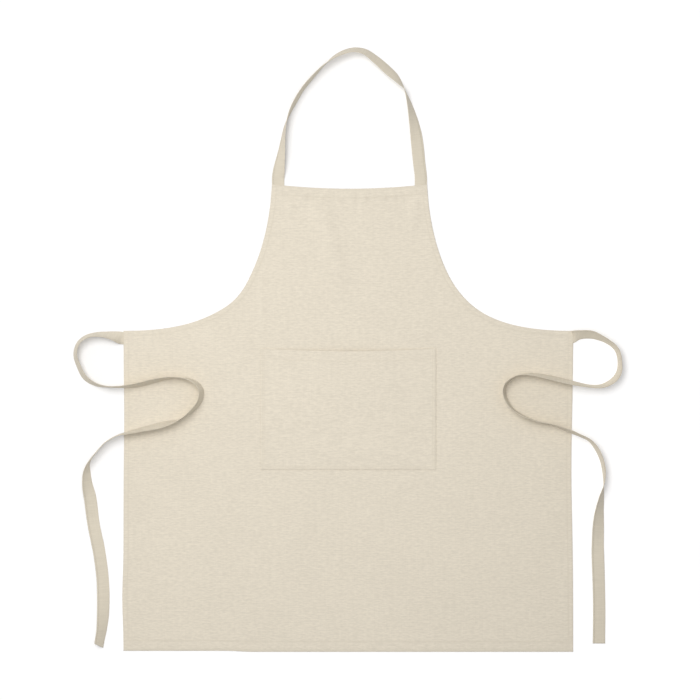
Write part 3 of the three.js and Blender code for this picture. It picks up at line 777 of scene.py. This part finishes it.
class TapePath:
    """Where a tape lies: its centres, directions and lengths, from [x, y, roll, level] points. The roll
    is in degrees by the right-hand rule, and the level is what the tape's lower edge lies on."""

    def __init__(self, route, thickness):
        plan = np.array([point[:2] for point in route])
        rolls = np.radians([point[2] for point in route])
        levels = np.array([point[3] for point in route])
        dense = np.linspace(0, 1, 6000)
        line = centripetal(plan, dense)
        along = lengths_along(line)
        rings = int(along[-1] / TAPE_RING_STEP) + 1
        self.length = along[-1]
        self.at = np.linspace(0, self.length, rings)
        t = np.interp(self.at, along, dense)
        centre = centripetal(plan, t)
        before = centripetal(plan, np.clip(t - 1e-4, 0, 1))
        after = centripetal(plan, np.clip(t + 1e-4, 0, 1))
        heading = after - before
        heading /= np.linalg.norm(heading, axis=1)[:, None]
        self.roll = even_curve(rolls, t)
        place = t * (len(levels) - 1)
        span = np.minimum(place.astype(int), len(levels) - 2)
        level = levels[span] + (levels[span + 1] - levels[span]) * smooth_share(0, 1, place - span)
        sin, cos = np.sin(self.roll), np.cos(self.roll)
        standing = (TAPE_WIDTH * np.abs(sin) + thickness * np.abs(cos)) / 2
        self.centre = np.column_stack([centre, level + standing])
        self.along = np.column_stack([heading, np.zeros(rings)])
        side = np.column_stack([-heading[:, 1], heading[:, 0]])
        self.left = np.column_stack([side * cos[:, None], sin])
        self.out = np.cross(self.along, self.left)

    def place(self, at, across, outward):
        """Points at lengths along the tape, across it and out of its face, with their directions."""
        pick = lambda table: np.column_stack([np.interp(at, self.at, table[:, k]) for k in range(3)])
        left, out, along = pick(self.left), pick(self.out), pick(self.along)
        across, outward = np.broadcast_to(across, len(at)), np.broadcast_to(outward, len(at))
        points = pick(self.centre) + left * across[:, None] + out * outward[:, None]
        return points, along, out


def tape_section(thickness):
    """The tape's section as [across, out] points: a rounded fold on the right, and on the left the two
    turned edges that meet, with a groove between them and one along the row of stitches."""
    half, thin = TAPE_WIDTH / 2, thickness / 2
    fold = [(-half, 0), (-half + 0.12 * MM, 0.55 * thin), (-half + 0.5 * MM, 0.92 * thin)]
    face = [(-8 * MM, thin), (-4 * MM, 1.04 * thin), (0, 1.06 * thin), (4 * MM, 1.03 * thin),
            (TAPE_ROW - 1.4 * MM, 0.98 * thin), (TAPE_ROW - 0.5 * MM, 0.8 * thin), (TAPE_ROW, 0.72 * thin),
            (TAPE_ROW + 0.5 * MM, 0.8 * thin), (TAPE_ROW + 1.3 * MM, 0.98 * thin)]
    edge = [(half - 0.4 * MM, 0.9 * thin), (half, 0.5 * thin)]
    upper = fold + face + edge
    groove = [(half - 0.5 * MM, 0)]
    lower = [(a, -b) for a, b in reversed(upper[1:])]
    return np.array(upper + groove + lower)


def make_tape(name, path, tape, seed, end_hem=0.0, end_slant=0.0):
    """A tape along its path, with its seam's puckers and, where it has one, the hem at its far end."""
    section = tape_section(tape.thickness)
    rings, points_round = len(path.at), len(section)
    at = path.at[:, None]
    across, out = section[:, 0][None, :], section[:, 1][None, :]
    near_seam = 0.55 + 0.45 * smooth_share(-TAPE_WIDTH / 2, TAPE_ROW, across)
    wave = tape.pucker_height * near_seam * (
        value_noise(at, across, 4.2 * MM, seed) + 0.5 * value_noise(at, across, 9 * MM, seed + 1))
    grown = 1 + 0.012 * value_noise(at, 0, 22 * MM, seed + 2)
    doubled = np.ones_like(at)
    if end_hem:
        fold_line = path.length - end_hem
        doubled = 1 + 0.8 * smooth_share(fold_line - 0.4 * MM, fold_line + 0.4 * MM, at)
    slant = end_slant * across * smooth_share(path.length - 20 * MM, path.length, at)
    points = (path.centre[:, None, :] + path.left[:, None, :] * (across * grown)[..., None]
              + path.out[:, None, :] * (out * doubled + wave)[..., None]
              + path.along[:, None, :] * slant[..., None])
    points[..., 2] = np.maximum(points[..., 2], 0.02 * MM)
    index = np.arange(rings * points_round).reshape(rings, points_round)
    turn = np.roll(index, -1, axis=1)
    faces = np.stack([index[:-1], turn[:-1], turn[1:], index[1:]], axis=-1).reshape(-1, 4)
    faces = [tuple(f) for f in faces[:, ::-1].tolist()]
    first, last = rings * points_round, rings * points_round + 1
    for i in range(points_round):
        j = (i + 1) % points_round
        faces.append((first, int(index[0, i]), int(index[0, j])))
        faces.append((last, int(index[-1, j]), int(index[-1, i])))
    ends = np.stack([points[0].mean(0), points[-1].mean(0)])
    piece = new_piece(name, np.vstack([points.reshape(-1, 3), ends]), faces,
                      material_named("Folded cotton tape", folded_tape, tape.colour))
    # Painted shade along the groove of the row of stitches, for the material to darken.
    seam = bell(section[:, 0] - TAPE_ROW, 0.9 * MM)
    mark_painted_shade(piece, np.concatenate([np.tile(seam, rings), [0, 0]]))
    girth = np.where(section[:, 1] >= 0, section[:, 0], section[:, 0] + 40 * MM)
    u = np.concatenate([np.repeat(path.at, points_round), [0, path.length]])
    v = np.concatenate([np.tile(girth, rings), [0, 0]])
    corners = np.zeros(len(piece.data.loops), int)
    piece.data.loops.foreach_get("vertex_index", corners)
    layer = piece.data.uv_layers.new(name="tape")
    layer.data.foreach_set("uv", np.column_stack([u[corners], v[corners]]).astype(np.float32).ravel())
    return piece


NECK_ROUTE = [
    (-0.127, 0.00315, 0), (-0.127, 0.009, 0), (-0.1263, 0.018, -10), (-0.1242, 0.034, -32),
    (-0.1205, 0.058, -54), (-0.1175, 0.082, -70), (-0.114, 0.103, -80), (-0.1068, 0.1245, -93),
    (-0.096, 0.1462, -101), (-0.0822, 0.169, -99), (-0.0635, 0.1912, -96), (-0.0445, 0.211, -86),
    (-0.02, 0.229, -67), (0.006, 0.2375, -61), (0.0265, 0.2345, -55), (0.0455, 0.2215, -46),
    (0.067, 0.2025, -41), (0.081, 0.1893, -49), (0.09, 0.178, -66), (0.097, 0.168, -84),
    (0.1015, 0.157, -78), (0.106, 0.143, -66), (0.111, 0.124, -50), (0.1168, 0.097, -27),
    (0.1207, 0.07, -9), (0.1243, 0.035, -5), (0.1265, 0.018, -3), (0.127, 0.009, 0),
    (0.127, 0.00315, 0),
]

LEFT_TIE_ROUTE = [
    (-0.018, -0.013, 0), (0.001, -0.013, 0), (0.006, -0.0118, 14), (0.015, -0.0092, 40),
    (0.03, -0.0068, 60), (0.05, -0.0066, 70), (0.067, -0.0115, 71), (0.0795, -0.0225, 69),
    (0.0845, -0.042, 66), (0.079, -0.061, 64), (0.067, -0.083, 63), (0.048, -0.095, 72),
    (0.028, -0.099, 83), (0.006, -0.0995, 81), (-0.026, -0.096, 71), (-0.054, -0.089, 72),
    (-0.082, -0.0835, 80), (-0.11, -0.084, 93), (-0.129, -0.092, 103), (-0.139, -0.106, 108),
    (-0.136, -0.125, 108), (-0.1215, -0.143, 103), (-0.099, -0.158, 89), (-0.07, -0.1665, 64),
    (-0.038, -0.174, 70), (-0.004, -0.1815, 82), (0.009, -0.185, 87), (0.03, -0.197, 87),
    (0.047, -0.215, 86), (0.0605, -0.234, 93), (0.064, -0.252, 118), (0.063, -0.274, 137),
    (0.059, -0.297, 163), (0.0535, -0.343, 180), (0.0435, -0.393, 180), (0.037, -0.443, 176),
    (0.0355, -0.493, 160), (0.0375, -0.527, 140), (0.043, -0.559, 130),
]
LEFT_TIE_OVER = range(13, 27)

RIGHT_TIE_ROUTE = [
    (-0.018, -0.0115, 0), (-0.001, -0.0105, 0), (0.0035, -0.009, 26), (0.012, -0.007, 44),
    (0.031, -0.0068, 52), (0.05, -0.0135, 67), (0.061, -0.0195, 73), (0.071, -0.027, 76),
    (0.078, -0.037, 78), (0.0815, -0.054, 80), (0.0805, -0.072, 75), (0.0735, -0.0845, 71),
    (0.062, -0.0932, 72), (0.047, -0.0985, 76), (0.028, -0.098, 78), (0.006, -0.094, 73),
    (-0.018, -0.0885, 68), (-0.046, -0.082, 71), (-0.072, -0.0775, 79), (-0.092, -0.0775, 90),
    (-0.109, -0.084, 99), (-0.121, -0.096, 107), (-0.1225, -0.113, 110), (-0.113, -0.133, 104),
    (-0.096, -0.147, 99), (-0.068, -0.159, 92), (-0.034, -0.167, 84), (-0.002, -0.179, 76),
    (0.009, -0.184, 79), (0.029, -0.195, 80), (0.041, -0.21, 78), (0.0495, -0.229, 80),
    (0.0535, -0.25, 84), (0.0535, -0.27, 95), (0.0495, -0.294, 120), (0.046, -0.319, 141),
    (0.0445, -0.345, 160), (0.044, -0.393, 180), (0.0455, -0.443, 180), (0.0465, -0.493, 180),
    (0.046, -0.556, 180),
]
RIGHT_TIE_OVER = range(15, 29)


def neck_path(tape):
    """The whole neck strap: sewn behind the left corner, round the loop and behind the right corner."""
    tuck = [(-NECK_SEAM, -NECK_TUCK, 0), (-NECK_SEAM, -NECK_TUCK / 2, 0)]
    end = [(NECK_SEAM, -NECK_TUCK / 2, 0), (NECK_SEAM, -NECK_TUCK, 0)]
    route = [(x, TOP + y, roll, ON_TABLE) for x, y, roll in tuck + NECK_ROUTE + end]
    return TapePath(route, tape.thickness)


def tie_path(side, route, over, tape):
    """A tie from its sewn end: over says which points of its route lie on the panel."""
    placed = [(side * (RIGHT + out), SIDE_CORNER + up, roll, ON_PANEL if k in over else ON_TABLE)
              for k, (out, up, roll) in enumerate(route)]
    return TapePath(placed, tape.thickness)


# Stitches


def stitch_shape():
    """One stitch about the origin, along X: a lens of thread whose ends dive into the cloth."""
    deselect_all()
    bpy.ops.mesh.primitive_uv_sphere_add(segments=8, ring_count=6, radius=1.0, rotation=(0, math.pi / 2, 0))
    stitch = bpy.context.object
    bpy.ops.object.transform_apply(location=False, rotation=True, scale=False)
    bpy.ops.object.mode_set(mode="EDIT")
    bpy.ops.mesh.select_all(action="SELECT")
    bpy.ops.transform.resize(value=(1.35 * MM, 0.28 * MM, 0.2 * MM))
    bpy.ops.mesh.select_all(action="DESELECT")
    bpy.ops.object.mode_set(mode="OBJECT")
    for vertex in stitch.data.vertices:
        vertex.select = abs(vertex.co.x) > 1.1 * MM
    bpy.ops.object.mode_set(mode="EDIT")
    bpy.ops.transform.translate(value=(0, 0, -0.16 * MM))
    bpy.ops.mesh.select_all(action="SELECT")
    bpy.ops.mesh.normals_make_consistent(inside=False)
    bpy.ops.object.mode_set(mode="OBJECT")
    points = np.array([v.co for v in stitch.data.vertices])
    faces = [tuple(p.vertices) for p in stitch.data.polygons]
    bpy.data.objects.remove(stitch)
    return points, faces


def upright(along):
    """Directions made one long, and the normals that stand on them."""
    along = along / np.linalg.norm(along, axis=1)[:, None]
    up = np.array([0, 0, 1.0]) - along * along[:, 2:3]
    return along, up / np.linalg.norm(up, axis=1)[:, None]


def row_of_stitches(line, height_at):
    """Places, directions and normals of the stitches along a line on the cloth."""
    line = np.asarray(line, float)
    count = max(2, round(line_length(line) / STITCH_PITCH))
    halves = evenly(line, 2 * count + 1)
    points, heading = halves[1::2], halves[2::2] - halves[:-2:2]
    height = lambda p: height_at(p[:, 0], p[:, 1])
    rise = height(points + heading / 4) - height(points - heading / 4)
    return (np.column_stack([points, height(points) + STITCH_LIFT]),
            *upright(np.column_stack([heading / 2, rise])))


def sew(name, rows, tape, seed):
    """One piece of thread: a copy of the stitch at each place of each row."""
    shape, shape_faces = stitch_shape()
    draw = np.random.default_rng(seed)
    points, faces, start = [], [], 0
    for place, along, up in rows:
        side = np.cross(up, along)
        for p, a, s, u in zip(place, along, side, up):
            turn = draw.normal(0, 0.05)
            grow = 1 + draw.normal(0, 0.04)
            ahead = a * math.cos(turn) + s * math.sin(turn)
            beside = s * math.cos(turn) - a * math.sin(turn)
            points.append(p + grow * (shape[:, :1] * ahead + shape[:, 1:2] * beside + shape[:, 2:] * u))
            faces += [tuple(start + v for v in face) for face in shape_faces]
            start += len(shape)
    return new_piece(name, np.vstack(points), faces, material_named("Spun cotton thread", spun_thread,
                                                                    tape.thread_colour))


def tape_rows(path, tape, from_at, to_at, end_rows=()):
    """The seam along both faces of a tape, and rows across its far end."""
    rows = []
    depth = 0.72 * tape.thickness / 2 + 0.08 * MM
    at = np.arange(from_at, to_at, STITCH_PITCH)
    for face in (1, -1):
        points, along, out = path.place(at + (0 if face > 0 else STITCH_PITCH / 2), TAPE_ROW, face * depth)
        rows.append((points, along, face * out))
        for back in end_rows:
            across = np.arange(-TAPE_WIDTH / 2 + 2 * MM, TAPE_WIDTH / 2 - 1.5 * MM, STITCH_PITCH)
            where = np.full(len(across), path.length - back)
            points, along, out = path.place(where, across, face * (0.9 * tape.thickness + 0.06 * MM))
            rows.append((points, np.cross(face * out, along), face * out))
    return rows


# Operators


class APRON_OT_stage(bpy.types.Operator):
    """Add a pale floor with a painted glow, two softboxes, soft surroundings and a camera straight above"""
    bl_idname = "apron.stage"
    bl_label = "Stage"

    def softbox(self, name, place, size, power):
        """A round softbox that the camera doesn't see, aimed at the middle of the apron."""
        aim = (Vector(LAMP_AIM) - Vector(place)).to_track_quat("-Z", "Y").to_euler()
        bpy.ops.object.light_add(type="AREA", location=place, rotation=aim)
        lamp = bpy.context.object
        lamp.name = name
        lamp.data.shape = "DISK"
        lamp.data.size = size
        lamp.data.energy = power
        lamp.data.color = (1, 0.995, 0.985)
        lamp.visible_camera = False

    def execute(self, context):
        stage = context.scene.apron_stage
        deselect_all()
        bpy.ops.mesh.primitive_plane_add(size=FLOOR_SIZE, location=(0, 0, 0))
        floor = context.object
        floor.name = "studio_floor"
        bpy.ops.object.mode_set(mode="EDIT")
        bpy.ops.mesh.select_all(action="SELECT")
        bpy.ops.transform.translate(value=(0, 0, -FLOOR_DROP))
        bpy.ops.object.mode_set(mode="OBJECT")
        floor.data.materials.append(material_named("Opal acrylic floor", painted_glow_floor, stage.floor_glow))
        floor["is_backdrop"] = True
        world = bpy.data.worlds.new("Soft surroundings")
        context.scene.world = world
        world.use_nodes = True
        world.node_tree.nodes["Background"].inputs["Color"].default_value = (1, 1, 1, 1)
        world.node_tree.nodes["Background"].inputs["Strength"].default_value = stage.fill
        deselect_all()
        self.softbox("key_softbox", KEY_PLACE, KEY_SIZE, stage.key_power)
        self.softbox("top_softbox", TOP_PLACE, TOP_SIZE, stage.top_power)
        camera_data = bpy.data.cameras.new("camera")
        camera_data.lens = stage.lens
        camera = bpy.data.objects.new("camera", camera_data)
        context.scene.collection.objects.link(camera)
        height = stage.view_width * stage.lens / camera_data.sensor_width
        camera.location = (*CAMERA_OVER, height)
        camera_data.clip_end = 50
        context.scene.camera = camera
        context.scene.view_settings.view_transform = "Standard"
        return {"FINISHED"}


def drop_row(low, high, step=40):
    """A straight line between two places."""
    return np.column_stack([np.linspace(low[0], high[0], step), np.linspace(low[1], high[1], step)])


def panel_height(cloth):
    return lambda x, y: panel_surface(x, y, cloth)[0]


class APRON_OT_panel(bpy.types.Operator):
    """Make the canvas panel with its hems"""
    bl_idname = "apron.panel"
    bl_label = "Body panel"

    def execute(self, context):
        piece, cut_area = make_panel(context.scene.apron_cloth)
        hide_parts("body_panel")
        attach(piece, "apron")
        return {"FINISHED"}


class APRON_OT_pocket(bpy.types.Operator):
    """Make the patch pocket"""
    bl_idname = "apron.pocket"
    bl_label = "Patch pocket"

    def execute(self, context):
        piece = make_pocket(context.scene.apron_cloth)
        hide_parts("front_pocket")
        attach(piece, "apron")
        return {"FINISHED"}


class APRON_OT_neck_strap(bpy.types.Operator):
    """Make the neck strap and its seam"""
    bl_idname = "apron.neck_strap"
    bl_label = "Neck strap"

    def execute(self, context):
        tape = context.scene.apron_tape
        path = neck_path(tape)
        strap = make_tape("neck_strap_tape", path, tape, 40)
        stitches = sew("neck_strap_stitches", tape_rows(path, tape, 2 * MM, path.length - 2 * MM), tape, 41)
        for piece, slot in ((strap, "tape"), (stitches, "thread")):
            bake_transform(piece)
        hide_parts("neck_strap", "neck_strap_left_end", "neck_strap_right_end")
        settle(path.centre).tolist()
        return {"FINISHED"}


class APRON_OT_waist_ties(bpy.types.Operator):
    """Make both waist ties and their seams"""
    bl_idname = "apron.waist_ties"
    bl_label = "Waist ties"

    def execute(self, context):
        tape = context.scene.apron_tape
        for hand, side, route, over, slant, seed in (
                ("left", -1, LEFT_TIE_ROUTE, LEFT_TIE_OVER, -0.35, 50),
                ("right", 1, RIGHT_TIE_ROUTE, RIGHT_TIE_OVER, 0.0, 60)):
            path = tie_path(side, route, over, tape)
            tie = make_tape(f"{hand}_waist_tie_tape", path, tape, seed, end_hem=9 * MM, end_slant=slant)
            rows = tape_rows(path, tape, 2 * MM, path.length - 1.5 * MM, end_rows=(7 * MM,))
            stitches = sew(f"{hand}_waist_tie_stitches", rows, tape, seed + 1)
            for piece, slot in ((tie, "tape"), (stitches, "thread")):
                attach(piece, "apron")
            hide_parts(f"{hand}_waist_tie")
            settle(path.centre).tolist()
        return {"FINISHED"}


class APRON_OT_hem_stitches(bpy.types.Operator):
    """Sew the hems of the panel"""
    bl_idname = "apron.hem_stitches"
    bl_label = "Hem stitches"

    def execute(self, context):
        cloth, tape = context.scene.apron_cloth, context.scene.apron_tape
        height = panel_height(cloth)
        lines = {}
        low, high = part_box("bottom_hem_thread")
        lines["bottom_hem"] = drop_row((low.x, (low.y + high.y) / 2), (high.x, (low.y + high.y) / 2))
        low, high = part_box("bib_hem_thread")
        x = np.linspace(low.x, high.x, 60)
        lines["bib_hem"] = np.column_stack([x, bib_edge(x) - HEMS["bib"] + ROW_INSET])
        arm = moved_armhole(HEMS["armhole"] - ROW_INSET)
        arm_low, arm_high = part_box("right_armhole_hem_thread")
        arm = arm[(arm[:, 0] < arm_high.x) & (arm[:, 1] < arm_high.y)]
        for hand, side in (("left", -1), ("right", 1)):
            low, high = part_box(f"{hand}_side_hem_thread")
            middle = (low.x + high.x) / 2
            lines[f"{hand}_side_hem"] = drop_row((middle, low.y), (middle, high.y))
            lines[f"{hand}_armhole_hem"] = arm * (side, 1)
        for seed, (name, line) in enumerate(lines.items()):
            piece = sew(f"{name}_stitches", [row_of_stitches(line, height)], tape, 70 + seed)
            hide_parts(f"{name}_thread")
            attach(piece, "apron")
        return {"FINISHED"}


class APRON_OT_pocket_stitches(bpy.types.Operator):
    """Sew the pocket down and hem its mouth"""
    bl_idname = "apron.pocket_stitches"
    bl_label = "Pocket stitches"

    def execute(self, context):
        cloth, tape = context.scene.apron_cloth, context.scene.apron_tape

        def row(line):
            line = np.asarray(line, float)
            spots = evenly(line, int(line_length(line) / MM))
            place, face, _, _ = pocket_surface(spots[:, 0], spots[:, 1], cloth)
            count = round(line_length(spots) / STITCH_PITCH)
            halves = evenly(np.column_stack([spots[:, 0], place, face]), 2 * count + 1)
            return halves[1::2] + (0, 0, STITCH_LIFT), *upright(halves[2::2] - halves[:-2:2])

        seam = []
        top = POCKET_HIGH.y - 1.5 * MM
        for inset in POCKET_ROWS:
            left, right, floor = POCKET_LOW.x + inset, POCKET_HIGH.x - inset, POCKET_LOW.y + inset
            seam.append(row([(left, top), (left, floor), (right, floor), (right, top)]))
        piece = sew("pocket_seam_stitches", seam, tape, 80)
        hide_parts("pocket_seam_thread")
        low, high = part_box("pocket_mouth_hem_thread")
        mouth = POCKET_HIGH.y - POCKET_HEM + ROW_INSET
        hem = sew("pocket_mouth_hem_stitches", [row([(low.x, mouth), (high.x, mouth)])], tape, 81)
        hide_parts("pocket_mouth_hem_thread")
        for thread in (piece, hem):
            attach(thread, "apron")
        return {"FINISHED"}


class APRON_OT_seam_stitches(bpy.types.Operator):
    """Sew the ends of the strap and the ties to the panel"""
    bl_idname = "apron.seam_stitches"
    bl_label = "Strap and tie stitches"

    def execute(self, context):
        cloth, tape = context.scene.apron_cloth, context.scene.apron_tape
        height = panel_height(cloth)
        inset = 0.3 * MM
        for seed, name in enumerate(("left_neck_strap", "right_neck_strap", "left_tie", "right_tie")):
            low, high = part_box(f"{name}_thread")
            corners = [(low.x + inset, low.y + inset), (high.x - inset, low.y + inset),
                       (high.x - inset, high.y - inset), (low.x + inset, high.y - inset)]
            rows = [row_of_stitches(drop_row(corners[i], corners[(i + 1) % 4]), height) for i in range(4)]
            piece = sew(f"{name}_stitches", rows, tape, 90 + seed)
            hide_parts(f"{name}_thread")
            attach(piece, "apron")
        return {"FINISHED"}


class APRON_PT_pieces(bpy.types.Panel):
    """The apron's pieces and their settings"""
    bl_label = "Canvas apron"
    bl_idname = "APRON_PT_pieces"
    bl_space_type = "VIEW_3D"
    bl_region_type = "UI"
    bl_category = "Apron"

    def draw(self, context):
        scene = context.scene
        for settings in (scene.apron_stage, scene.apron_cloth, scene.apron_tape):
            column = self.layout.column(align=True)
            for key in settings.__annotations__:
                column.prop(settings, key)
        for operator in OPERATORS:
            self.layout.operator(operator.bl_idname)


SETTINGS = {"apron_cloth": ApronCloth, "apron_tape": ApronTape, "apron_stage": ApronStage}
OPERATORS = (APRON_OT_stage, APRON_OT_panel, APRON_OT_pocket, APRON_OT_neck_strap, APRON_OT_waist_ties,
             APRON_OT_hem_stitches, APRON_OT_pocket_stitches, APRON_OT_seam_stitches)


def register():
    for name, group in SETTINGS.items():
        bpy.utils.register_class(group)
        setattr(bpy.types.Scene, name, bpy.props.PointerProperty(type=group))
    for operator in OPERATORS:
        bpy.utils.register_class(operator)
    bpy.utils.register_class(APRON_PT_pieces)


def unregister():
    bpy.utils.unregister_class(APRON_PT_pieces)
    for operator in reversed(OPERATORS):
        bpy.utils.unregister_class(operator)
    for name, group in SETTINGS.items():
        delattr(bpy.types.Scene, name)
        bpy.utils.unregister_class(group)


def main():
    register()
    bpy.ops.apron.stage()
    bpy.ops.apron.panel()
    bpy.ops.apron.pocket()
    bpy.ops.apron.neck_strap()
    bpy.ops.apron.waist_ties()
    bpy.ops.apron.hem_stitches()
    bpy.ops.apron.pocket_stitches()
    bpy.ops.apron.seam_stitches()
    sizes = {"cad": [list(corner) for corner in cad_box], "visual": [list(corner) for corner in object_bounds()]}


if __name__ == "__main__":
    main()
